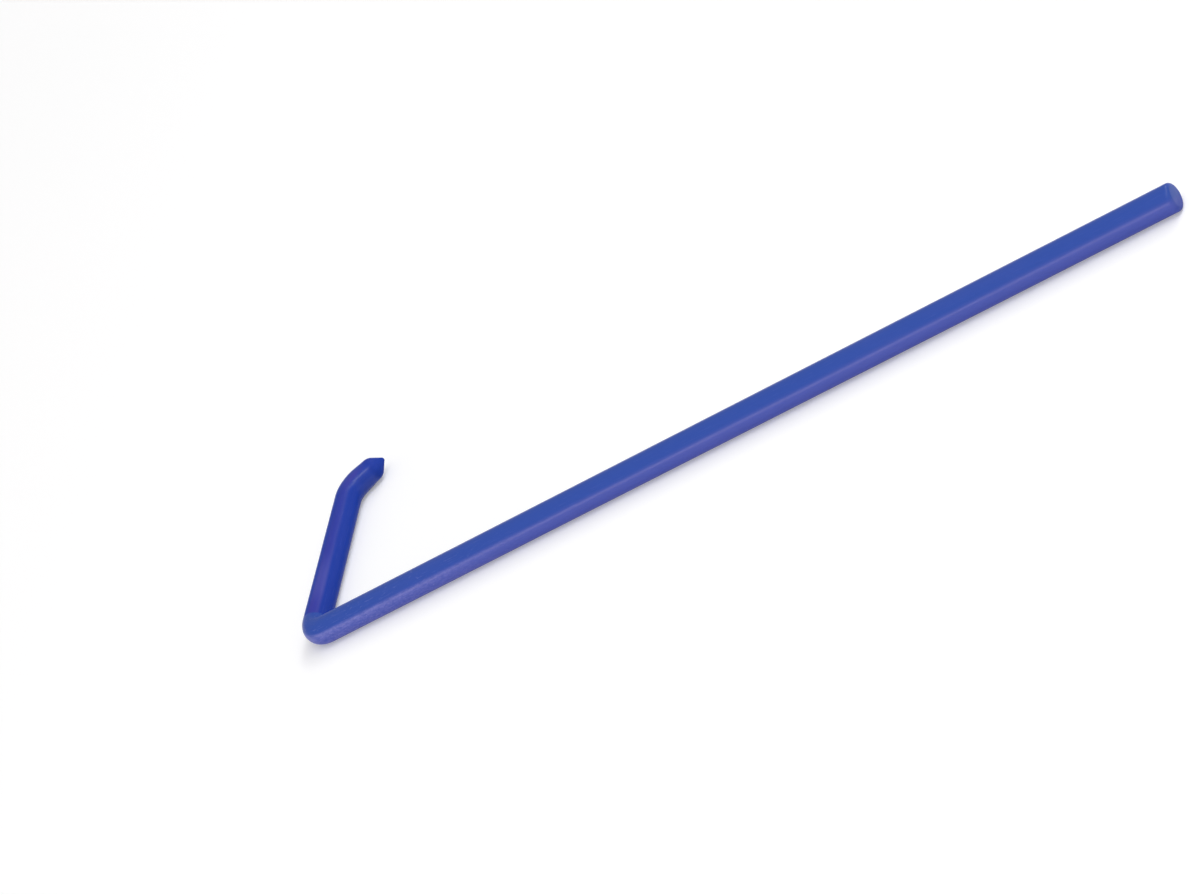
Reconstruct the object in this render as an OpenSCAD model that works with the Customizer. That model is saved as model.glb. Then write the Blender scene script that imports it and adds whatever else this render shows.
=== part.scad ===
// L-shaped cell spreader, moulded in one piece: a round rod with a long
// handle, a tight right-angled heel, a spreading arm that tapers a little
// towards its far end, and a short toe that turns up out of the agar and
// ends in a blunt cone. It lies on its side, with the handle along X and
// the arm along Y.

/* [Handle] */
// Diameter of the rod along the handle and round the heel
rod_d = 4; // [3:0.1:6]
// Overall length, from the heel's outer side to the handle's free end
handle_l = 146; // [90:1:220]
// Radius on the edge of the handle's free end
end_round = 0.6; // [0.2:0.1:1.2]

/* [Heel] */
// Radius inside the bend between the handle and the arm
heel_inner_r = 0.5; // [0.2:0.1:6]

/* [Spreading arm] */
// Length from the handle's axis to the corner of the toe's axis
arm_l = 31; // [24:1:60]
// Diameter of the arm where the toe's bend begins
arm_tip_d = 3.8; // [2.8:0.1:5]

/* [Toe] */
// Angle that the toe turns from the arm, towards the handle's side
toe_angle = 56; // [15:1:75]
// Radius inside the toe's bend
toe_inner_r = 1.9; // [0.4:0.1:5]
// Length of the toe's taper, from the bend to the widest ring of the shoulder
toe_l = 2.2; // [1.5:0.1:12]
// Diameter across the rounded shoulder, where the nose begins
shoulder_d = 3.5; // [2.4:0.1:4.4]
// Angle between the side of the nose's cone and the toe's axis
nose_angle = 43; // [30:1:60]
// Radius of the nose's rounded tip
nose_tip_r = 0.6; // [0.3:0.1:1.1]

/* [Hidden] */
$fn = 96;

heel_angle = 90;
// Step down from the arm's end to the toe's bend, too small to see or feel. It
// keeps the two round edges from lying on each other.
edge_step = 0.01;
rod_r = rod_d / 2;
arm_tip_r = arm_tip_d / 2;
shoulder_r = shoulder_d / 2;

// Radii of the two bends along the rod's axis
heel_bend_r = heel_inner_r + rod_r;
toe_bend_r = toe_inner_r + arm_tip_r;

// Straight lengths, between the bends and beyond them
toe_corner = toe_bend_r * tan(toe_angle / 2);
handle_straight = handle_l - rod_r - heel_bend_r;
arm_straight = arm_l - heel_bend_r - toe_corner;

// Where the toe's taper runs into the round of the shoulder, as an angle
taper_reach = sqrt(pow(arm_tip_r, 2) + pow(toe_l, 2));
taper_touch = acos(shoulder_r / taper_reach) - atan2(toe_l, arm_tip_r);

// Distance from the toe's bend to the centre of the rounded tip
tip_l = toe_l + (shoulder_r - nose_tip_r) / sin(nose_angle);

// Furthest reach of the arm: at the bend's end, at the shoulder or at the tip
bend_end_y = arm_l + toe_corner * cos(toe_angle);
reach_y = max(
    bend_end_y + arm_tip_r * sin(toe_angle),
    bend_end_y + toe_l * cos(toe_angle) + shoulder_r,
    bend_end_y + tip_l * cos(toe_angle) + nose_tip_r
);

// The origin lies under the middle of the part's outer box. The part lies on
// its widest stretch: the handle, unless the arm or the shoulder is wider.
arm_widest_r = max(rod_r, arm_tip_r + edge_step);
axis_height = max(arm_widest_r, shoulder_r);
handle_end_x = handle_l - rod_r;
middle_x = (handle_end_x - arm_widest_r) / 2;
middle_y = (reach_y - rod_r) / 2;

// Points along an arc, from one angle to another
function arc(centre, r, from, to, steps = 10) = [
    for (i = [0 : steps])
        let (a = from + (to - from) * i / steps)
            centre + r * [cos(a), sin(a)]
];

// A solid of revolution about Y, from half its outline
module turned(outline) {
    rotate([-90, 0, 0])
        rotate_extrude()
            polygon(outline);
}

// A block that fills one side of the XZ plane: the far side, or the near side
module half_space(size, near = false) {
    translate([-size, near ? -size : 0, -size])
        cube([2 * size, size, 2 * size]);
}

// The rod is one run. Each module below draws its own stretch, which starts
// at the origin and heads along +Y, and puts what follows at its far end.

// A straight stretch, which can taper
module straight(length, start_r, end_r) {
    rotate([-90, 0, 0])
        cylinder(h = length, r1 = start_r, r2 = end_r);
    translate([0, length, 0])
        children();
}

// A bend towards +X: the part of a ring between the planes at its two ends
module bend(bend_r, section_r, angle) {
    size = bend_r + 2 * section_r;
    translate([bend_r, 0, 0])
        rotate([0, 0, -angle]) {
            intersection() {
                rotate_extrude()
                    translate([bend_r, 0])
                        circle(r = section_r);
                half_space(size, near = true);
                rotate([0, 0, angle])
                    half_space(size);
            }
            translate([-bend_r, 0, 0])
                children();
        }
}

// The handle, from its rounded free end to the heel
module handle() {
    edge = [rod_r - end_round, end_round];
    turned(concat(
        [[0, handle_straight], [0, 0]],
        arc(edge, end_round, -90, 0),
        [[rod_r, handle_straight]]
    ));
    translate([0, handle_straight, 0])
        children();
}

// The toe beyond its bend: a taper, a rounded shoulder and a blunt cone
module toe() {
    turned(concat(
        [[0, 0], [arm_tip_r, 0]],
        arc([0, toe_l], shoulder_r, taper_touch, nose_angle),
        arc([0, tip_l], nose_tip_r, nose_angle, 90)
    ));
}

module spreader() {
    color([0.18, 0.26, 0.63])
        translate([handle_end_x - middle_x, -middle_y, axis_height])
            rotate([0, 0, 90])
                handle()
                    bend(heel_bend_r, rod_r, heel_angle)
                        straight(arm_straight, rod_r, arm_tip_r + edge_step)
                            bend(toe_bend_r, arm_tip_r, toe_angle)
                                toe();
}

spreader();
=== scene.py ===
"""Visual model of a cell spreader: one L-shaped rod, moulded in blue plastic."""

import logging
import math
from collections.abc import Callable, Sequence
from dataclasses import dataclass, field
from enum import Enum
from typing import Any, ClassVar

import bmesh
import bpy
from mathutils import Matrix, Quaternion, Vector


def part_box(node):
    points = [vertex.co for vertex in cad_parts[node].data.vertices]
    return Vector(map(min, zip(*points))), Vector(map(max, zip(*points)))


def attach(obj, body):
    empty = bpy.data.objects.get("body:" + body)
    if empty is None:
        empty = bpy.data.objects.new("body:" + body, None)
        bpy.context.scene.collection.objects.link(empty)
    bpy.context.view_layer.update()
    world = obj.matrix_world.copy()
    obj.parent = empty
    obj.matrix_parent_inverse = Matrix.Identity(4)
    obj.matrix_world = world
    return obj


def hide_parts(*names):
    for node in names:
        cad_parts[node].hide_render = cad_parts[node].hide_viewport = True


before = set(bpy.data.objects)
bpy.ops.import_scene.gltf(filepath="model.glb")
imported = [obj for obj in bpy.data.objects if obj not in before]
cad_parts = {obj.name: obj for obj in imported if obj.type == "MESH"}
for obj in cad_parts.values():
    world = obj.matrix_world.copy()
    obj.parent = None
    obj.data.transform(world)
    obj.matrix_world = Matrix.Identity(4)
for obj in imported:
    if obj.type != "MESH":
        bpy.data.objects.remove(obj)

LOG = logging.getLogger("spreader")
MM = 0.001
NOISE_MEAN = 0.5

Point = tuple[float, float, float]
Colour = tuple[float, float, float, float]
Span = tuple[float, float]
Socket = bpy.types.NodeSocket


def grey(level: float) -> Colour:
    """A grey of one brightness."""
    return (level, level, level, 1.0)


def stand(
    name: str, data: bpy.types.ID, axes: Sequence[Vector], place: Vector
) -> bpy.types.Object:
    """Stands a lamp or a camera in the scene.

    Args:
        name: Its name.
        data: The lamp or the camera.
        axes: Its X, Y and Z axes. It faces along -Z.
        place: Where it stands.

    Returns:
        The object that holds it.
    """
    holder = bpy.data.objects.new(name, data)
    bpy.context.scene.collection.objects.link(holder)
    holder.rotation_euler = Matrix(axes).transposed().to_euler()
    holder.location = place
    return holder


class Side(Enum):
    """The side of the rod to which a bend's centre lies, as it is drawn."""

    RIGHT = -1
    LEFT = 1


@dataclass(frozen=True)
class Pattern:
    """A noise pattern.

    Attributes:
        repeats: How often it repeats per millimetre, for each coordinate.
        layers: How many finer layers it has.
        roughness: How strong the finer layers are.
        fade: The noise values between which it fades in, if it does.
    """

    repeats: Point
    layers: float
    roughness: float
    fade: Span | None = None


@dataclass(frozen=True)
class Stripe:
    """A stripe along the rod, on the side that faces one way.

    Attributes:
        outer: How far that way leans to the outer side of the bends.
        up: How far it leans upwards.
        fade: The distances that way from the rod's axis, in millimetres,
            between which the stripe fades in.
    """

    outer: float
    up: float
    fade: Span


class Value:
    """A number on a shader's socket; arithmetic on it adds Math nodes."""

    def __init__(self, shader: "Shader", socket: Socket) -> None:
        """Wraps a socket.

        Args:
            shader: The shader that the socket belongs to.
            socket: An output socket that carries a number.
        """
        self.shader = shader
        self.socket = socket

    def _math(
        self, operation: str, *terms: "Value | float", clamp: bool = False
    ) -> "Value":
        """Adds one Math node.

        Args:
            operation: The node's operation.
            terms: Its inputs, each a Value or a number.
            clamp: Whether the result is held between 0 and 1.

        Returns:
            The node's result.
        """
        node = self.shader.node(
            "ShaderNodeMath",
            {"operation": operation, "use_clamp": clamp},
            dict(enumerate(terms)),
        )
        return Value(self.shader, node.outputs[0])

    def __add__(self, other: "Value | float") -> "Value":
        """The sum of the two."""
        return self._math("ADD", self, other)

    __radd__ = __add__

    def __sub__(self, other: "Value | float") -> "Value":
        """What is left when the other is taken away."""
        return self._math("SUBTRACT", self, other)

    def __rsub__(self, other: "Value | float") -> "Value":
        """What is left when this is taken from the other."""
        return self._math("SUBTRACT", other, self)

    def __mul__(self, other: "Value | float") -> "Value":
        """The product of the two."""
        return self._math("MULTIPLY", self, other)

    __rmul__ = __mul__

    def held(self) -> "Value":
        """This held between 0 and 1."""
        return self._math("ADD", self, 0.0, clamp=True)

    def at_least(self, other: "Value | float") -> "Value":
        """The larger of the two."""
        return self._math("MAXIMUM", self, other)

    def ease(self, low: float, high: float) -> "Value":
        """Runs smoothly from 0 at one value to 1 at another.

        Args:
            low: The value that gives 0.
            high: The value that gives 1.

        Returns:
            The eased value.
        """
        node = self.shader.node(
            "ShaderNodeMapRange",
            {"interpolation_type": "SMOOTHSTEP"},
            {"Value": self, "From Min": low, "From Max": high},
        )
        return Value(self.shader, node.outputs[0])


class Shader:
    """The node tree of one material or world, and the ways to add to it."""

    def __init__(self, owner: bpy.types.ID) -> None:
        """Clears the owner's node tree.

        Args:
            owner: The material or world whose nodes these are.
        """
        owner.use_nodes = True
        self.tree = owner.node_tree
        self.tree.nodes.clear()

    def node(
        self,
        kind: str,
        settings: dict[str, Any] | None = None,
        sockets: dict[str | int, Any] | None = None,
    ) -> bpy.types.Node:
        """Adds one node.

        Args:
            kind: The node's type.
            settings: Its own settings, which are made first.
            sockets: Its inputs by name or number: each is a number, a colour,
                a vector, a Value, or an output socket to link.

        Returns:
            The node.
        """
        node = self.tree.nodes.new(kind)
        for name, value in (settings or {}).items():
            setattr(node, name, value)
        for name, value in (sockets or {}).items():
            source = value.socket if isinstance(value, Value) else value
            if isinstance(source, Socket):
                self.tree.links.new(source, node.inputs[name])
            else:
                node.inputs[name].default_value = source
        return node

    def value(self, socket: Socket) -> Value:
        """The wrapped form of an output socket."""
        return Value(self, socket)

    def mix(
        self, share: Value, first: "Colour | Socket", second: "Colour | Socket"
    ) -> Socket:
        """Mixes two colours.

        Args:
            share: How much of the second there is, from 0 to 1.
            first: The colour, or colour socket, at 0.
            second: The colour, or colour socket, at 1.

        Returns:
            The colour socket of the mix.
        """
        node = self.node(
            "ShaderNodeMix", {"data_type": "RGBA"}, {0: share, 6: first, 7: second}
        )
        return node.outputs[2]

    def stretch(self, vector: Socket, scale: Point) -> Socket:
        """Scales a vector's three parts.

        Args:
            vector: The vector socket.
            scale: What each part is multiplied by.

        Returns:
            The scaled vector's socket.
        """
        node = self.node(
            "ShaderNodeVectorMath", {"operation": "MULTIPLY"}, {0: vector, 1: scale}
        )
        return node.outputs[0]

    def noise(self, vector: Socket, pattern: Pattern) -> Value:
        """Adds a noise pattern.

        Args:
            vector: The socket of the coordinates, in millimetres.
            pattern: The pattern.

        Returns:
            The pattern, about 0.5 on average where it doesn't fade in.
        """
        node = self.node(
            "ShaderNodeTexNoise",
            {"noise_dimensions": "3D"},
            {
                "Vector": self.stretch(vector, pattern.repeats),
                "Scale": 1.0,
                "Detail": pattern.layers,
                "Roughness": pattern.roughness,
            },
        )
        value = self.value(node.outputs[0])
        return value.ease(*pattern.fade) if pattern.fade else value

    def bump(
        self, height: Value, distance: float, normal: Socket | None = None
    ) -> Socket:
        """Raises a surface by a height.

        Args:
            height: The height, from 0 to 1.
            distance: How far a height of 1 stands up, in metres.
            normal: The normal socket of a bump below this one, if any.

        Returns:
            The normal's socket.
        """
        sockets = {"Height": height, "Distance": distance, "Strength": 1.0}
        if normal is not None:
            sockets["Normal"] = normal
        return self.node("ShaderNodeBump", None, sockets).outputs[0]


class RodMap:
    """Where a point of the rod's surface lies, as shader values.

    The map is read from the rod's "run" attribute, in millimetres: the
    distance along the rod from its free end, the offset towards the outer side
    of the bends, and the height above the rod's axis. So a pattern follows the
    rod round its bends.

    Attributes:
        shader: The shader that the map is for.
        path: The rod's path.
        run: The socket of the three places.
        along: The distance along the rod.
        outer: The offset towards the outer side.
        height: The height above the axis.
        arm: The arm and the toe, apart from their outer side and underside, which lack the
            handle's painted sheen.
        down_arm: How far down the arm a point lies, from 0 to 1.
        nose: The toe's nose.
        toe: The toe without its nose.
        crest: The line along the top of the arm and the toe.
        by_heel: The handle's end by the heel, and the heel.
        clouds: The resin's clouds, about 0 on average.
    """

    # Where the arm's deeper colour begins past the heel's bend, at the edge of the
    # handle's painted sheen, and how deep a noise pattern bites into that edge
    ARM_EDGE: ClassVar[Span] = (-0.2, 0.3)
    ARM_EDGE_NOISE: ClassVar[Pattern] = Pattern((0.45, 2.2, 2.2), 3.0, 0.6)
    ARM_EDGE_BITE: ClassVar[float] = 0.25
    # Where it ends, on the arm's outer side and underside
    ARM_OUTER: ClassVar[Stripe] = Stripe(1, 0, (1.0, 1.9))
    ARM_BENEATH: ClassVar[Stripe] = Stripe(0, -1, (0.7, 1.7))
    # The arm's crest, and the edges of the toe and the nose
    ARM_CREST: ClassVar[Stripe] = Stripe(-0.355, 0.935, (1.66, 1.94))
    TOE_LEAD: ClassVar[float] = -1.0
    NOSE_EDGE: ClassVar[Span] = (1.5, 2.5)
    # Where scuffs and painted highlights begin before the heel and end past it
    WORN_HANDLE: ClassVar[Span] = (-45.0, -4.0)
    WORN_ARM: ClassVar[Span] = (-1.0, 10.0)
    CLOUDS: ClassVar[Pattern] = Pattern((0.07, 0.30, 0.30), 3.0, 0.55)

    def __init__(self, shader: Shader, path: "Path") -> None:
        """Reads the map and marks the rod's zones on it.

        Args:
            shader: The shader that the map is for.
            path: The rod's path, which says where its stretches begin.
        """
        self.shader = shader
        self.path = path
        run = shader.node("ShaderNodeAttribute", {"attribute_name": "run"})
        self.run = shader.stretch(run.outputs["Vector"], (1 / MM,) * 3)
        parts = shader.node("ShaderNodeSeparateXYZ", None, {0: self.run})
        self.along, self.outer, self.height = map(shader.value, parts.outputs)

        arm_start, toe_start = path.arm_start / MM, path.toe_start / MM
        self.arm = self._arm()
        self.down_arm = self.along.ease(arm_start, toe_start)
        self.nose = self.past(path.taper_start, self.NOSE_EDGE)
        toe = self.along.ease(toe_start + self.TOE_LEAD, path.taper_start / MM)
        self.toe = toe * (1 - self.nose)
        self.crest = self.facing(self.ARM_CREST) * (1 - self.nose)
        worn = self.past(path.heel_start, self.WORN_HANDLE)
        worn = worn * (1 - self.past(path.arm_start, self.WORN_ARM))
        self.by_heel = worn * (1 - self.arm)
        self.clouds = self.noise(self.CLOUDS) - NOISE_MEAN

    def _arm(self) -> Value:
        """Marks the arm and the toe, apart from their outer side and underside.

        Returns:
            The zone: 1 inside it, with an edge by the heel that wavers a little.
        """
        edge_noise = self.noise(self.ARM_EDGE_NOISE)
        arm = self.past(self.path.arm_start, self.ARM_EDGE)
        arm = (arm - (edge_noise - NOISE_MEAN).at_least(0) * self.ARM_EDGE_BITE).held()
        hidden = self.facing(self.ARM_OUTER).at_least(self.facing(self.ARM_BENEATH))
        return arm * (1 - hidden)

    def past(self, mark: float, fade: Span) -> Value:
        """Marks what lies past a place along the rod.

        Args:
            mark: The place's distance along the rod, in metres.
            fade: The distances from the mark, in millimetres, between which
                the zone fades in.

        Returns:
            The zone.
        """
        start = mark / MM
        return self.along.ease(start + fade[0], start + fade[1])

    def facing(self, stripe: Stripe) -> Value:
        """Marks a stripe along the rod.

        Args:
            stripe: The stripe.

        Returns:
            The zone.
        """
        distance = self.outer * stripe.outer + self.height * stripe.up
        return distance.ease(*stripe.fade)

    def noise(self, pattern: Pattern) -> Value:
        """Lays a noise pattern along the rod."""
        return self.shader.noise(self.run, pattern)


@dataclass(frozen=True)
class HandleTone:
    """The handle's colour: blue above, lighter than the arm's as painted sheen, and more
    violet below as painted reflection.

    Attributes:
        blue: The colour above, lighter than the arm's as painted sheen.
        violet: The colour below, a painted reflection.
        lower_side: Where the painted reflection turns it violet.
        lower_violet: How violet it gets there.
        cloud_violet: How much the resin's clouds change that.
    """

    blue: Colour = (0.032, 0.079, 0.370, 1.0)
    violet: Colour = (0.068, 0.092, 0.390, 1.0)
    lower_side: Stripe = Stripe(0.51, -0.86, (-0.3, 0.7))
    lower_violet: float = 0.85
    cloud_violet: float = 0.5

    def colour(self, rod: RodMap) -> Socket:
        """Mixes the colour.

        Args:
            rod: The map of the rod.

        Returns:
            The colour's socket.
        """
        # Painted reflection of the floor: the lower side turns violet
        violet = rod.facing(self.lower_side) * self.lower_violet
        violet = (violet + rod.clouds * self.cloud_violet).held()
        return rod.shader.mix(violet, self.blue, self.violet)


@dataclass(frozen=True)
class ArmTone:
    """The arm's and the toe's colour: deeper than the handle's painted sheen, with a
    painted violet highlight along the crest and painted shade on the sides and the toe.

    Attributes:
        deep: The colour.
        violet: The colour of the painted highlight along the crest and of the painted
            sheen above.
        painted_shade: A darker colour, painted shade on the sides and on the toe.
        upper_side: Where the whole upper side gets a little painted violet sheen.
        upper_violet: How violet it gets there.
        crest_violet: How strong the crest's painted highlight is where the arm begins.
        violet_loss: How much of that is lost down the arm.
        toe_violet: How much the painted highlight on the toe's crest gains.
        cloud_violet: How much the resin's clouds change the violet.
        outer_side: Where the outer side gets painted shade.
        lower_side: Where the lower side gets painted shade.
        side_shade: How strong the painted shade on the two is.
        nose_loss: How much of that is lost on the nose.
        toe_shade: How strong the painted shade on the toe is.
        crest_loss: How much of any painted shade is lost along the crest.
    """

    deep: Colour = (0.021, 0.052, 0.350, 1.0)
    violet: Colour = (0.064, 0.050, 0.342, 1.0)
    painted_shade: Colour = (0.008, 0.042, 0.362, 1.0)
    upper_side: Stripe = Stripe(0.17, 0.98, (1.05, 1.60))
    upper_violet: float = 0.08
    crest_violet: float = 0.5
    violet_loss: float = 0.3
    toe_violet: float = 0.45
    cloud_violet: float = 0.4
    outer_side: Stripe = Stripe(1, 0, (-0.3, 0.6))
    lower_side: Stripe = Stripe(0, -1, (-0.8, 0.2))
    side_shade: float = 0.8
    nose_loss: float = 0.6
    toe_shade: float = 0.85
    crest_loss: float = 0.8

    def colour(self, rod: RodMap) -> Socket:
        """Mixes the colour.

        Args:
            rod: The map of the rod.

        Returns:
            The colour's socket.
        """
        # Painted highlight in violet along the crest, and painted violet sheen on the
        # upper side
        crest = self.crest_violet - rod.down_arm * self.violet_loss
        crest = crest + rod.toe * self.toe_violet
        violet = rod.facing(self.upper_side) * self.upper_violet + rod.crest * crest
        violet = (violet + rod.clouds * self.cloud_violet).held()
        tone = rod.shader.mix(violet, self.deep, self.violet)

        # Painted shade: a darker colour on the outer side, the underside and the toe
        sides = rod.facing(self.outer_side).at_least(rod.facing(self.lower_side))
        sides = sides * (self.side_shade - rod.nose * self.nose_loss)
        painted_shade_share = (rod.toe * self.toe_shade).at_least(sides)
        painted_shade_share = painted_shade_share * (1 - rod.crest * self.crest_loss)
        return rod.shader.mix(painted_shade_share, tone, self.painted_shade)


@dataclass(frozen=True)
class ScuffsAndHighlights:
    """Fine lines along the rod and scuffed flecks by the heel, with painted highlights on
    the handle's ridge and the arm's crest and painted sheen low on the handle.

    Attributes:
        colour: The pale colour of the scuffs and of the painted highlights and sheen.
        hairs: Fine lines along the rod.
        hair: How strong they are all over.
        heel_hair: How much stronger they are by the heel.
        fleck: How strong the flecks by the heel are.
        low_fleck: How much stronger they are low on the rod.
        mottle: The pattern of the scuffs.
        ridge_highlight: The line where the handle faces outwards, which gets a painted
            highlight mottled with scuffs.
        ridge_even: How strong its painted highlight is all along.
        ridge_mottled: How much stronger it is in the mottle.
        low_sheen_side: The side below it, which gets painted sheen mottled with scuffs.
        low_even: How strong its painted sheen is all over.
        low_mottled: How much stronger it is in the mottle.
        painted_crest_in: Where the painted highlight on the arm's crest fades in.
        painted_crest_out: Where it fades out.
        painted_crest_strength: How strong that painted highlight is.
    """

    colour: Colour = (0.215, 0.230, 0.580, 1.0)
    hairs: Pattern = Pattern((0.35, 9.0, 9.0), 2.0, 0.6, (0.60, 0.72))
    hair: float = 0.06
    heel_hair: float = 0.12
    fleck: float = 0.05
    low_fleck: float = 0.17
    mottle: Pattern = Pattern((1.6, 4.0, 4.0), 4.0, 0.75, (0.36, 0.66))
    ridge_highlight: Stripe = Stripe(0.970, 0.242, (1.90, 1.985))
    ridge_even: float = 0.04
    ridge_mottled: float = 0.34
    low_sheen_side: Stripe = Stripe(0.50, -0.86, (0.5, 1.5))
    low_even: float = 0.01
    low_mottled: float = 0.36
    painted_crest_in: Span = (1.0, 6.0)
    painted_crest_out: Span = (8.0, 14.0)
    painted_crest_strength: float = 0.13

    def amount(self, rod: RodMap, flecks: Value) -> Value:
        """Adds up the scuffs and the painted highlights and sheen.

        Args:
            rod: The map of the rod.
            flecks: The pattern of the flecks.

        Returns:
            Their sum, from 0 to 1.
        """
        low = rod.facing(self.low_sheen_side)
        mottle = rod.noise(self.mottle)
        hairs = rod.noise(self.hairs) * (self.hair + self.heel_hair * rod.by_heel)
        flecks = flecks * rod.by_heel * (self.fleck + low * self.low_fleck)
        # Painted highlight along the ridge, mottled with scuffs
        ridge_highlight = rod.facing(self.ridge_highlight) * rod.by_heel
        ridge_highlight = ridge_highlight * (self.ridge_even + mottle * self.ridge_mottled)
        # Painted sheen low on the handle, mottled with scuffs
        low = low * rod.by_heel * (self.low_even + mottle * self.low_mottled)
        # Painted highlight on the arm's crest
        painted_crest = rod.past(rod.path.arm_start, self.painted_crest_in)
        painted_crest = painted_crest - rod.past(rod.path.arm_start, self.painted_crest_out)
        painted_crest = rod.arm * rod.crest * painted_crest * self.painted_crest_strength
        return (hairs + flecks + ridge_highlight + low + painted_crest).held()


@dataclass(frozen=True)
class Skin:
    """The glossy skin from the mould, which is stronger in some places.

    Attributes:
        rough: Its roughness.
        handle: Its strength on the handle.
        arm: Its strength along the arm's crest.
        toe: Its strength on the toe.
        corner: Where it is lost towards the heel, on the inner side.
        inner_side: The inner side.
        lower_side: Where it is weaker, low on the handle.
        lower_loss: How much of it is lost there.
        cloud: How much the resin's clouds change it.
        worn: How much it gains by the heel, evenly.
        fleck: How much it gains there in the flecks.
    """

    rough: float = 0.28
    handle: float = 0.36
    arm: float = 0.05
    toe: float = 0.64
    corner: Span = (-1.5, 0.0)
    inner_side: Stripe = Stripe(-1, 0, (0.0, 1.2))
    lower_side: Stripe = Stripe(0, -1, (-0.2, 0.9))
    lower_loss: float = 0.7
    cloud: float = 0.10
    worn: float = 0.02
    fleck: float = 0.7

    def weight(self, rod: RodMap, flecks: Value) -> Value:
        """Adds up the skin's strength.

        Args:
            rod: The map of the rod.
            flecks: The pattern of the flecks.

        Returns:
            The strength, from 0 to 1.
        """
        inside = rod.past(rod.path.heel_start, self.corner)
        inside = inside * rod.facing(self.inner_side)
        skin = self.handle * (1 - rod.arm) * (1 - inside)
        skin = skin * (1 - rod.facing(self.lower_side) * self.lower_loss)
        skin = skin + self.arm * rod.arm * rod.crest + self.toe * rod.toe
        skin = skin + rod.clouds * self.cloud
        skin = skin + rod.by_heel * (self.worn + flecks * self.fleck)
        return skin.held()


@dataclass(frozen=True)
class MouldedPlastic:
    """Smooth blue plastic straight from the mould, with painted sheen, highlights and
    shade in its colour.

    Attributes:
        handle: The handle's colour, with painted sheen and painted reflection.
        arm: The arm's and the toe's colour, with painted highlight and painted shade.
        scuffs_and_highlights: The scuffs, with painted highlights and sheen.
        skin: The glossy skin.
        rough: The roughness beneath the skin.
        cloud_rough: How much the resin's clouds change that.
        worn_rough: How much rougher the scuffs and painted highlights are.
        shine: How much the plastic reflects beneath the skin.
        ior: The plastic's index of refraction.
        waves: Slow waves from the mould's filling.
        wave_height: How high they stand.
        flecks: The flecks by the heel.
        fleck_height: How high they stand.
        grain: The fine grain of the mould's steel.
        grain_height: How high it stands.
    """

    handle: HandleTone = HandleTone()
    arm: ArmTone = ArmTone()
    scuffs_and_highlights: ScuffsAndHighlights = ScuffsAndHighlights()
    skin: Skin = Skin()
    rough: float = 0.30
    cloud_rough: float = 0.10
    worn_rough: float = 0.20
    shine: float = 0.02
    ior: float = 1.49
    waves: Pattern = Pattern((0.22, 0.8, 0.8), 2.0, 0.5)
    wave_height: float = 0.030 * MM
    flecks: Pattern = Pattern((1.1, 2.6, 2.6), 4.0, 0.65, (0.60, 0.70))
    fleck_height: float = 0.010 * MM
    grain: Pattern = Pattern((5.0, 5.0, 5.0), 3.0, 0.6)
    grain_height: float = 0.0020 * MM

    def material(self, path: "Path") -> bpy.types.Material:
        """Makes the material.

        Args:
            path: The rod's path, which says where its stretches begin.

        Returns:
            The material.
        """
        material = bpy.data.materials.new("blue_plastic")
        shader = Shader(material)
        rod = RodMap(shader, path)
        flecks = rod.noise(self.flecks)
        scuffs_and_highlights = self.scuffs_and_highlights.amount(rod, flecks)
        # The handle's lighter blue against the arm's deeper blue is painted sheen
        tone = shader.mix(rod.arm, self.handle.colour(rod), self.arm.colour(rod))
        rough = self.rough + rod.clouds * self.cloud_rough + scuffs_and_highlights * self.worn_rough

        normal = shader.bump(rod.noise(self.waves), self.wave_height)
        normal = shader.bump(flecks * rod.by_heel, self.fleck_height, normal)
        normal = shader.bump(rod.noise(self.grain), self.grain_height, normal)

        surface = shader.node(
            "ShaderNodeBsdfPrincipled",
            None,
            {
                # The pale mix is scuffs together with painted highlights and sheen
                "Base Color": shader.mix(scuffs_and_highlights, tone, self.scuffs_and_highlights.colour),
                "Roughness": rough,
                "Specular IOR Level": self.shine,
                "IOR": self.ior,
                "Coat Weight": self.skin.weight(rod, flecks),
                "Coat Roughness": self.skin.rough,
                "Normal": normal,
            },
        )
        shader.node("ShaderNodeOutputMaterial", None, {0: surface.outputs[0]})
        return material


@dataclass(frozen=True)
class PaleFloor:
    """A matt pale floor, which shows white where nothing shades it.

    Attributes:
        colour: The paint's colour.
        lift: How much is added near the part, for the rays that see the floor
            as a background.
        far_lift: How much is added far away.
        far_fade: The distances from the part, in metres, between which the one
            becomes the other.
    """

    colour: Colour = grey(0.80)
    lift: float = 0.28
    far_lift: float = 0.68
    far_fade: Span = (0.25, 1.3)

    def material(self) -> bpy.types.Material:
        """Makes the material.

        Returns:
            The material: matt paint, with a lift towards white for the rays
            that see it as a background.
        """
        material = bpy.data.materials.new("pale_floor")
        shader = Shader(material)
        paint = shader.node("ShaderNodeBsdfDiffuse", None, {"Color": self.colour})
        place = shader.node("ShaderNodeTexCoord")
        reach = shader.node(
            "ShaderNodeVectorMath", {"operation": "LENGTH"}, {0: place.outputs["Object"]}
        )
        far = shader.value(reach.outputs["Value"]).ease(*self.far_fade)
        # The lift at a place, as a share of the far one
        share = (self.lift + far * (self.far_lift - self.lift)) * (1 / self.far_lift)
        glow = shader.node("ShaderNodeEmission", None, {"Strength": self.far_lift})
        lifted = shader.node(
            "ShaderNodeAddShader", None, {0: paint.outputs[0], 1: glow.outputs[0]}
        )
        path = shader.node("ShaderNodeLightPath")
        seen = shader.value(path.outputs["Is Camera Ray"])
        seen = seen.at_least(shader.value(path.outputs["Is Glossy Ray"]))
        seen = seen.at_least(shader.value(path.outputs["Is Transmission Ray"]))
        surface = shader.node(
            "ShaderNodeMixShader",
            None,
            {0: seen * share, 1: paint.outputs[0], 2: lifted.outputs[0]},
        )
        shader.node("ShaderNodeOutputMaterial", None, {0: surface.outputs[0]})
        return material


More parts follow.
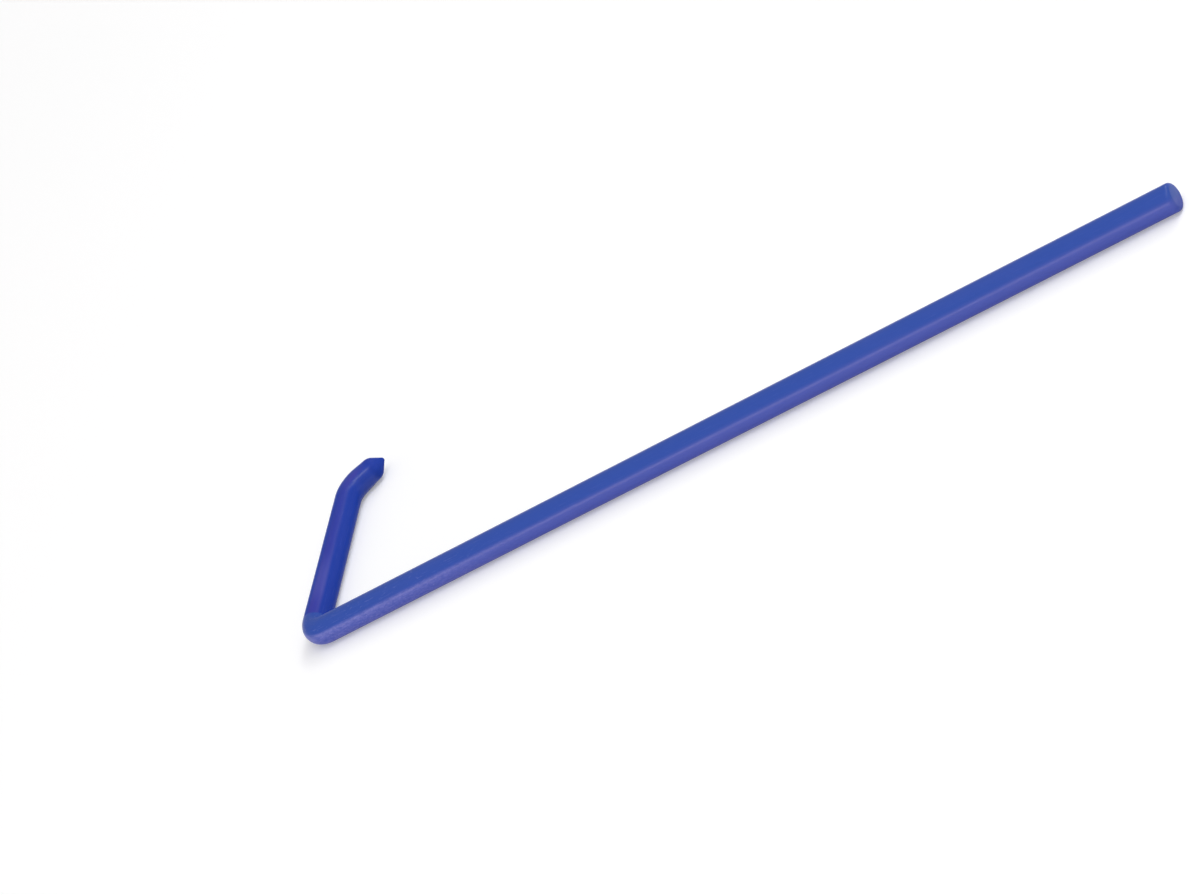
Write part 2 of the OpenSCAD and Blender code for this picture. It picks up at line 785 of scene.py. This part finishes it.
@dataclass
class Path:
    """The rod's axis and its sizes, in metres.

    The rod is drawn from the handle's free end to the toe's tip. It heads
    along -X, turns at the heel, heads along +Y and turns again at the toe.

    Attributes:
        rod_r: The radius of the handle and the heel.
        length: The whole length, from the heel's outer side to the free end.
        end_round: The radius on the free end's edge.
        heel_r: The radius of the heel's bend along the axis.
        arm_l: From the handle's axis to the corner of the toe's axis.
        arm_tip_r: The arm's radius where the toe's bend begins.
        toe_bend_r: The radius of the toe's bend along the axis.
        toe_angle: How far the toe turns.
        toe_l: From the toe's bend to the widest ring of its shoulder.
        shoulder_r: The shoulder's radius.
        nose_angle: Between the side of the nose's cone and the toe's axis.
        nose_tip_r: The radius of the nose's rounded tip.
        heel: The corner of the handle's and the arm's axes.
    """

    rod_r: float = 2.0 * MM
    length: float = 146.0 * MM
    end_round: float = 0.6 * MM
    heel_r: float = 2.5 * MM
    arm_l: float = 31.0 * MM
    arm_tip_r: float = 1.9 * MM
    toe_bend_r: float = 3.8 * MM
    toe_angle: float = math.radians(56)
    toe_l: float = 2.2 * MM
    shoulder_r: float = 1.75 * MM
    nose_angle: float = math.radians(43)
    nose_tip_r: float = 0.4 * MM
    heel: Vector = field(default_factory=Vector)

    @property
    def toe_corner(self) -> float:
        """How far the toe's bend reaches from the corner of the two axes."""
        return self.toe_bend_r * math.tan(self.toe_angle / 2)

    @property
    def handle_l(self) -> float:
        """Length of the handle's straight stretch."""
        return self.length - self.rod_r - self.heel_r

    @property
    def straight_arm_l(self) -> float:
        """Length of the arm's straight stretch."""
        return self.arm_l - self.heel_r - self.toe_corner

    @property
    def heel_start(self) -> float:
        """Distance along the rod at which the heel's bend begins."""
        return self.handle_l

    @property
    def arm_start(self) -> float:
        """Distance along the rod at which the arm begins."""
        return self.heel_start + self.heel_r * math.pi / 2

    @property
    def toe_start(self) -> float:
        """Distance along the rod at which the toe's bend begins."""
        return self.arm_start + self.straight_arm_l

    @property
    def taper_start(self) -> float:
        """Distance along the rod at which the toe's taper begins."""
        return self.toe_start + self.toe_bend_r * self.toe_angle

    @property
    def heel_centre(self) -> Vector:
        """The centre of the heel's bend."""
        return self.heel + Vector((self.heel_r, self.heel_r, 0))

    @property
    def toe_centre(self) -> Vector:
        """The centre of the toe's bend."""
        return self.heel + Vector((self.toe_bend_r, self.arm_l - self.toe_corner, 0))

    @property
    def toe_way(self) -> Vector:
        """The direction in which the toe heads."""
        return Vector((math.sin(self.toe_angle), math.cos(self.toe_angle), 0))

    @property
    def toe_root(self) -> Vector:
        """The point of the axis at which the toe's taper begins."""
        out = Vector((-math.cos(self.toe_angle), math.sin(self.toe_angle), 0))
        return self.toe_centre + self.toe_bend_r * out

    def run(self, point: Vector) -> Point:
        """Lays a point of the rod out straight.

        Args:
            point: A point on or in the rod.

        Returns:
            Its distance along the axis, its offset towards the outer side of
            the bends, and its height above the axis.
        """
        offset = point - self.heel
        if offset.x > self.heel_r and offset.y < self.heel_r:
            return (self.length - self.rod_r - offset.x, -offset.y, offset.z)
        from_centre = point - self.heel_centre
        if from_centre.y < 0:
            turned = math.atan2(-from_centre.x, -from_centre.y)
            out = from_centre.xy.length - self.heel_r
            return (self.heel_start + turned * self.heel_r, out, offset.z)
        from_centre = point - self.toe_centre
        if from_centre.y < 0:
            return (self.arm_start + offset.y - self.heel_r, -offset.x, offset.z)
        turned = math.atan2(from_centre.y, -from_centre.x)
        if turned < self.toe_angle:
            out = from_centre.xy.length - self.toe_bend_r
            return (self.toe_start + turned * self.toe_bend_r, out, offset.z)
        beyond = point - self.toe_root
        across = Vector((-self.toe_way.y, self.toe_way.x, 0))
        return (self.taper_start + beyond @ self.toe_way, beyond @ across, offset.z)


class RodMaker:
    """Draws a round rod in edit mode, a stretch at a time, as one mesh.

    Attributes:
        piece: The rod's object.
        at: The centre of the end that is being drawn.
        way: The direction in which it heads.
        radius: The rod's radius there.
    """

    # How many faces go round the rod, and across a rounded edge
    SEGMENTS: ClassVar[int] = 96
    EDGE_SEGMENTS: ClassVar[int] = 8
    ROUND_PROFILE: ClassVar[float] = 0.5
    # Edges that turn by less than this are shaded smooth
    SMOOTH_ANGLE: ClassVar[float] = math.radians(40)
    # Points nearer to each other than this are one, and radii are the same
    SAME_PLACE: ClassVar[float] = 1e-7
    SAME_RADIUS: ClassVar[float] = 1e-9

    def __init__(self, name: str, start: Vector, way: Vector, radius: float) -> None:
        """Adds the disc that the rod grows from, and enters edit mode.

        Args:
            name: The piece's name.
            start: The centre of the rod's free end.
            way: The direction in which the rod sets out.
            radius: The rod's radius there.
        """
        bpy.ops.object.select_all(action="DESELECT")
        bpy.ops.mesh.primitive_circle_add(
            vertices=self.SEGMENTS,
            radius=radius,
            fill_type="NGON",
            location=start,
            rotation=way.to_track_quat("Z", "Y").to_euler(),
        )
        self.piece = bpy.context.object
        self.piece.name = self.piece.data.name = name
        bpy.ops.object.transform_apply(location=True, rotation=True, scale=True)
        bpy.ops.object.mode_set(mode="EDIT")
        bpy.ops.mesh.select_all(action="SELECT")
        self.at = start.copy()
        self.way = way.normalized()
        self.radius = radius

    def straight(self, length: float, end_radius: float, steps: int) -> None:
        """Extrudes the end straight on.

        Args:
            length: How far it goes.
            end_radius: The radius it reaches there.
            steps: How many rings it is drawn in.
        """
        start_radius = self.radius
        for i in range(1, steps + 1):
            radius = start_radius + (end_radius - start_radius) * i / steps
            self._ring(length / steps, radius)

    def _ring(self, length: float, radius: float) -> None:
        """Extrudes the end by one ring.

        Args:
            length: How far it goes.
            radius: The ring's radius.
        """
        step = self.way * length
        bpy.ops.mesh.extrude_region_move(TRANSFORM_OT_translate={"value": step})
        self.at = self.at + step
        if abs(radius - self.radius) > self.SAME_RADIUS:
            ratio = radius / self.radius
            bpy.ops.transform.resize(value=(ratio,) * 3, center_override=self.at)
            self.radius = radius

    def bend(self, bend_radius: float, angle: float, side: Side, steps: int) -> None:
        """Spins the end round a corner, flat on the XY plane.

        Args:
            bend_radius: The radius of the bend along the rod's axis.
            angle: How far it turns.
            side: The side to which it turns.
            steps: How many rings it is drawn in.
        """
        towards = Vector((-self.way.y, self.way.x, 0)) * side.value
        centre = self.at + towards * bend_radius
        bpy.ops.mesh.spin(
            steps=steps,
            angle=angle,
            center=centre,
            axis=(0, 0, -side.value),
            use_auto_merge=False,
        )
        turn = Quaternion((0, 0, 1), angle * side.value)
        self.at = centre + turn @ (self.at - centre)
        self.way = turn @ self.way

    def profile(self, outline: Sequence[tuple[float, float]]) -> None:
        """Extrudes the end ring by ring along an outline.

        Args:
            outline: The radius of each ring and its distance along the axis
                from where the end is now.
        """
        reached = 0.0
        for radius, along in outline:
            self._ring(along - reached, radius)
            reached = along

    def close(self) -> None:
        """Draws the last ring together into one point."""
        bpy.ops.mesh.merge(type="CENTER")

    def round_edge(self, centre: Vector, way: Vector, radius: float) -> None:
        """Rounds the edge of a flat end.

        Args:
            centre: The centre of the end's face.
            way: The direction in which the face looks.
            radius: The radius that its edge is given.
        """
        self._select_edges(lambda v: abs((v - centre) @ way) < self.SAME_PLACE)
        bpy.ops.mesh.bevel(
            offset_type="OFFSET",
            offset=radius,
            segments=self.EDGE_SEGMENTS,
            profile=self.ROUND_PROFILE,
            affect="EDGES",
            clamp_overlap=False,
        )

    def _select_edges(self, wanted: Callable[[Vector], bool]) -> None:
        """Selects the edges whose two ends are both wanted.

        Args:
            wanted: Says of a point whether it is wanted.
        """
        bpy.ops.mesh.select_all(action="DESELECT")
        bpy.ops.mesh.select_mode(type="EDGE")
        mesh = bmesh.from_edit_mesh(self.piece.data)
        for edge in mesh.edges:
            if all(wanted(v.co) for v in edge.verts):
                edge.select_set(True)
        bmesh.update_edit_mesh(self.piece.data)

    def finish(self) -> bpy.types.Object:
        """Leaves edit mode with a clean, smooth-shaded mesh.

        Returns:
            The piece.
        """
        bpy.ops.mesh.select_all(action="SELECT")
        bpy.ops.mesh.remove_doubles(threshold=self.SAME_PLACE)
        bpy.ops.mesh.normals_make_consistent(inside=False)
        bpy.ops.object.mode_set(mode="OBJECT")
        bpy.ops.object.shade_smooth_by_angle(angle=self.SMOOTH_ANGLE)
        return self.piece


@dataclass
class Spreader:
    """The whole rod: handle, heel, spreading arm and toe in one piece.

    Attributes:
        path: The rod's axis and its sizes.
        finish: What it is moulded in.
        handle_rings: How many rings the handle is drawn in.
        heel_rings: How many the heel's bend is drawn in.
        arm_rings: How many the arm is drawn in.
        toe_rings: How many the toe's bend is drawn in.
        shoulder_rings: How many the shoulder and the cone are drawn in.
        tip_rings: How many the nose's tip is drawn in.
        last_ring: The angle on the tip's ball at which the last ring lies.
    """

    path: Path
    finish: MouldedPlastic = MouldedPlastic()
    handle_rings: int = 40
    heel_rings: int = 28
    arm_rings: int = 12
    toe_rings: int = 20
    shoulder_rings: int = 14
    tip_rings: int = 12
    last_ring: float = math.radians(88)

    def toe_outline(self) -> list[tuple[float, float]]:
        """The toe's half outline, from its bend to its tip.

        Returns:
            The radius and distance of each ring: a taper, a rounded shoulder
            and a blunt cone with a rounded tip.
        """
        path = self.path
        reach = math.hypot(path.arm_tip_r, path.toe_l)
        touch = math.acos(path.shoulder_r / reach) - math.atan2(
            path.toe_l, path.arm_tip_r
        )
        tip_l = path.toe_l + (path.shoulder_r - path.nose_tip_r) / math.sin(
            path.nose_angle
        )
        shoulder = self.arc(
            path.toe_l, path.shoulder_r, touch, path.nose_angle, self.shoulder_rings
        )
        tip = self.arc(
            tip_l, path.nose_tip_r, path.nose_angle, self.last_ring, self.tip_rings
        )
        return shoulder + tip

    @staticmethod
    def arc(
        centre: float, radius: float, start: float, end: float, steps: int
    ) -> list[tuple[float, float]]:
        """Rings of a ball on the axis.

        Args:
            centre: Where the ball's centre lies along the axis.
            radius: The ball's radius.
            start: The angle of the first ring from the ball's widest.
            end: The angle of the last ring.
            steps: How many steps lie between them.

        Returns:
            The radius and distance of each ring.
        """
        angles = [start + (end - start) * i / steps for i in range(steps + 1)]
        return [
            (radius * math.cos(a), centre + radius * math.sin(a)) for a in angles
        ]

    def build(self) -> bpy.types.Object:
        """Draws the rod from its free end to its tip.

        Returns:
            The piece.
        """
        path = self.path
        free_end = path.heel + Vector((path.length - path.rod_r, 0, 0))
        maker = RodMaker("spreader_rod", free_end, Vector((-1, 0, 0)), path.rod_r)
        maker.straight(path.handle_l, path.rod_r, self.handle_rings)
        maker.bend(path.heel_r, math.pi / 2, Side.RIGHT, self.heel_rings)
        maker.straight(path.straight_arm_l, path.arm_tip_r, self.arm_rings)
        maker.bend(path.toe_bend_r, path.toe_angle, Side.RIGHT, self.toe_rings)
        maker.profile(self.toe_outline())
        maker.close()
        maker.round_edge(free_end, Vector((1, 0, 0)), path.end_round)
        piece = maker.finish()
        self.lay_out(piece)
        return piece

    def lay_out(self, piece: bpy.types.Object) -> None:
        """Stores each point's place on the straightened rod.

        Args:
            piece: The finished piece.
        """
        run = piece.data.attributes.new("run", "FLOAT_VECTOR", "POINT")
        places = [x for v in piece.data.vertices for x in self.path.run(v.co)]
        run.data.foreach_set("vector", places)

    def dress(self, piece: bpy.types.Object) -> None:
        """Gives the piece its finish and its place in the frame.

        Args:
            piece: The finished piece.
        """
        piece.data.materials.clear()
        piece.data.materials.append(self.finish.material(self.path))
        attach(piece, "root")
        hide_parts("spreader")


@dataclass
class Softbox:
    """A long rectangular lamp that faces the part.

    Attributes:
        name: The lamp's name.
        ends: The directions in which its two ends are seen from the part.
        width: Its width, in metres.
        power: Its power, in watts.
        colour: The colour of its light.
        distance: How far from the part it hangs, in metres.
        aim: The point that it faces.
    """

    name: str
    ends: tuple[Point, Point]
    width: float
    power: float
    colour: tuple[float, float, float] = (1.0, 1.0, 1.0)
    distance: float = 1.2
    aim: Point = (-0.02, 0.0, 0.002)

    def place(self) -> bpy.types.Object:
        """Adds the lamp, between the two directions at which its ends are seen.

        Returns:
            The lamp, which no camera sees.
        """
        first, last = (Vector(end).normalized() for end in self.ends)
        way = (first + last).normalized()
        along = (last - first).normalized()
        lamp = bpy.data.lights.new(self.name, "AREA")
        lamp.shape = "RECTANGLE"
        lamp.size = self.width
        lamp.size_y = 2 * self.distance * math.tan(first.angle(last) / 2)
        lamp.energy = self.power
        lamp.color = self.colour
        place = Vector(self.aim) + way * self.distance
        holder = stand(self.name, lamp, (along.cross(way), along, way), place)
        holder.visible_camera = False
        return holder


@dataclass
class Studio:
    """The floor, the lamps and the room's own light.

    Attributes:
        floor_size: The length of the floor's sides, in metres.
        horizon: The room's brightness at the horizon.
        room: Its brightness above.
        fade: The heights of view between which the one becomes the other.
        floor: The floor's finish.
        lamps: The lamps.
    """

    floor_size: float = 8.0
    horizon: float = 1.0
    room: float = 0.41
    fade: Span = (0.05, 0.16)
    floor: PaleFloor = PaleFloor()
    lamps: list[Softbox] = field(
        default_factory=lambda: [
            Softbox("back", ((0.14, 0.82, 0.55), (0.64, 0.26, 0.72)), 0.30, 4.0),
            Softbox("overhead", ((0.66, 0.20, 0.72), (0.08, -0.52, 0.85)), 0.30, 5.0),
            Softbox("side", ((0.90, 0.20, 0.40), (0.10, -0.70, 0.70)), 1.60, 2.9),
            Softbox(
                "front", ((-0.92, -0.39, 0.05), (0.18, -0.98, 0.05)), 0.10, 5.2,
                colour=(1.0, 0.82, 0.90), distance=1.0,
            ),
        ]
    )

    def lay_floor(self) -> None:
        """Adds the floor under the part."""
        bpy.ops.object.select_all(action="DESELECT")
        bpy.ops.mesh.primitive_plane_add(size=self.floor_size, location=(0, 0, 0))
        floor = bpy.context.object
        floor.name = "floor"
        floor.data.materials.append(self.floor.material())

    def light(self) -> None:
        """Places the lamps and fills the room with soft light."""
        for lamp in self.lamps:
            lamp.place()
        world = bpy.data.worlds.new("room")
        bpy.context.scene.world = world
        shader = Shader(world)
        place = shader.node("ShaderNodeTexCoord")
        parts = shader.node("ShaderNodeSeparateXYZ", None, {0: place.outputs["Generated"]})
        height = shader.value(parts.outputs[2])
        light = shader.mix(
            height.ease(*self.fade), grey(self.horizon), grey(self.room)
        )
        room = shader.node("ShaderNodeBackground", None, {"Color": light})
        shader.node("ShaderNodeOutputWorld", None, {0: room.outputs[0]})


@dataclass
class Viewpoint:
    """The camera, by what it looks at and from where.

    Attributes:
        aim: The point in the middle of its view.
        azimuth: The direction from there to the camera, round from +X.
        elevation: The camera's angle above the floor.
        roll: How far the camera is turned about its line of sight.
        distance: How far from its aim it stands, in metres.
        lens: Its focal length, in millimetres.
        sight: The furthest that it sees, in metres.
    """

    aim: Point = (-21.85 * MM, -6.82 * MM, 2.02 * MM)
    azimuth: float = math.radians(-57.73)
    elevation: float = math.radians(26.70)
    roll: float = math.radians(-43.06)
    distance: float = 769.75 * MM
    lens: float = 170.12
    sight: float = 20.0

    def place(self) -> None:
        """Adds the camera and makes it the scene's."""
        flat = math.cos(self.elevation)
        back = Vector(
            (
                flat * math.cos(self.azimuth),
                flat * math.sin(self.azimuth),
                math.sin(self.elevation),
            )
        )
        level = Vector((-math.sin(self.azimuth), math.cos(self.azimuth), 0))
        right = Quaternion(back, self.roll) @ level
        up = back.cross(right)
        camera = bpy.data.cameras.new("camera")
        camera.lens = self.lens
        camera.clip_end = self.sight
        place = Vector(self.aim) + back * self.distance
        holder = stand("camera", camera, (right, up, back), place)
        bpy.context.scene.camera = holder


def main() -> None:
    """Builds the part and the studio round it."""
    logging.basicConfig(level=logging.INFO, format="%(name)s: %(message)s")
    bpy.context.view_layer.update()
    low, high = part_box("spreader")
    path = Path()
    path.heel = Vector((low.x + path.rod_r, low.y + path.rod_r, path.rod_r))
    LOG.info("CAD box %s to %s", tuple(low), tuple(high))

    spreader = Spreader(path)
    piece = spreader.build()
    spreader.dress(piece)
    LOG.info("%s: %d faces", piece.name, len(piece.data.polygons))

    studio = Studio()
    studio.lay_floor()
    studio.light()
    Viewpoint().place()
    bpy.context.scene.view_settings.view_transform = "Standard"
    LOG.info("floor, lamps and camera are in place")


if __name__ == "__main__":
    main()
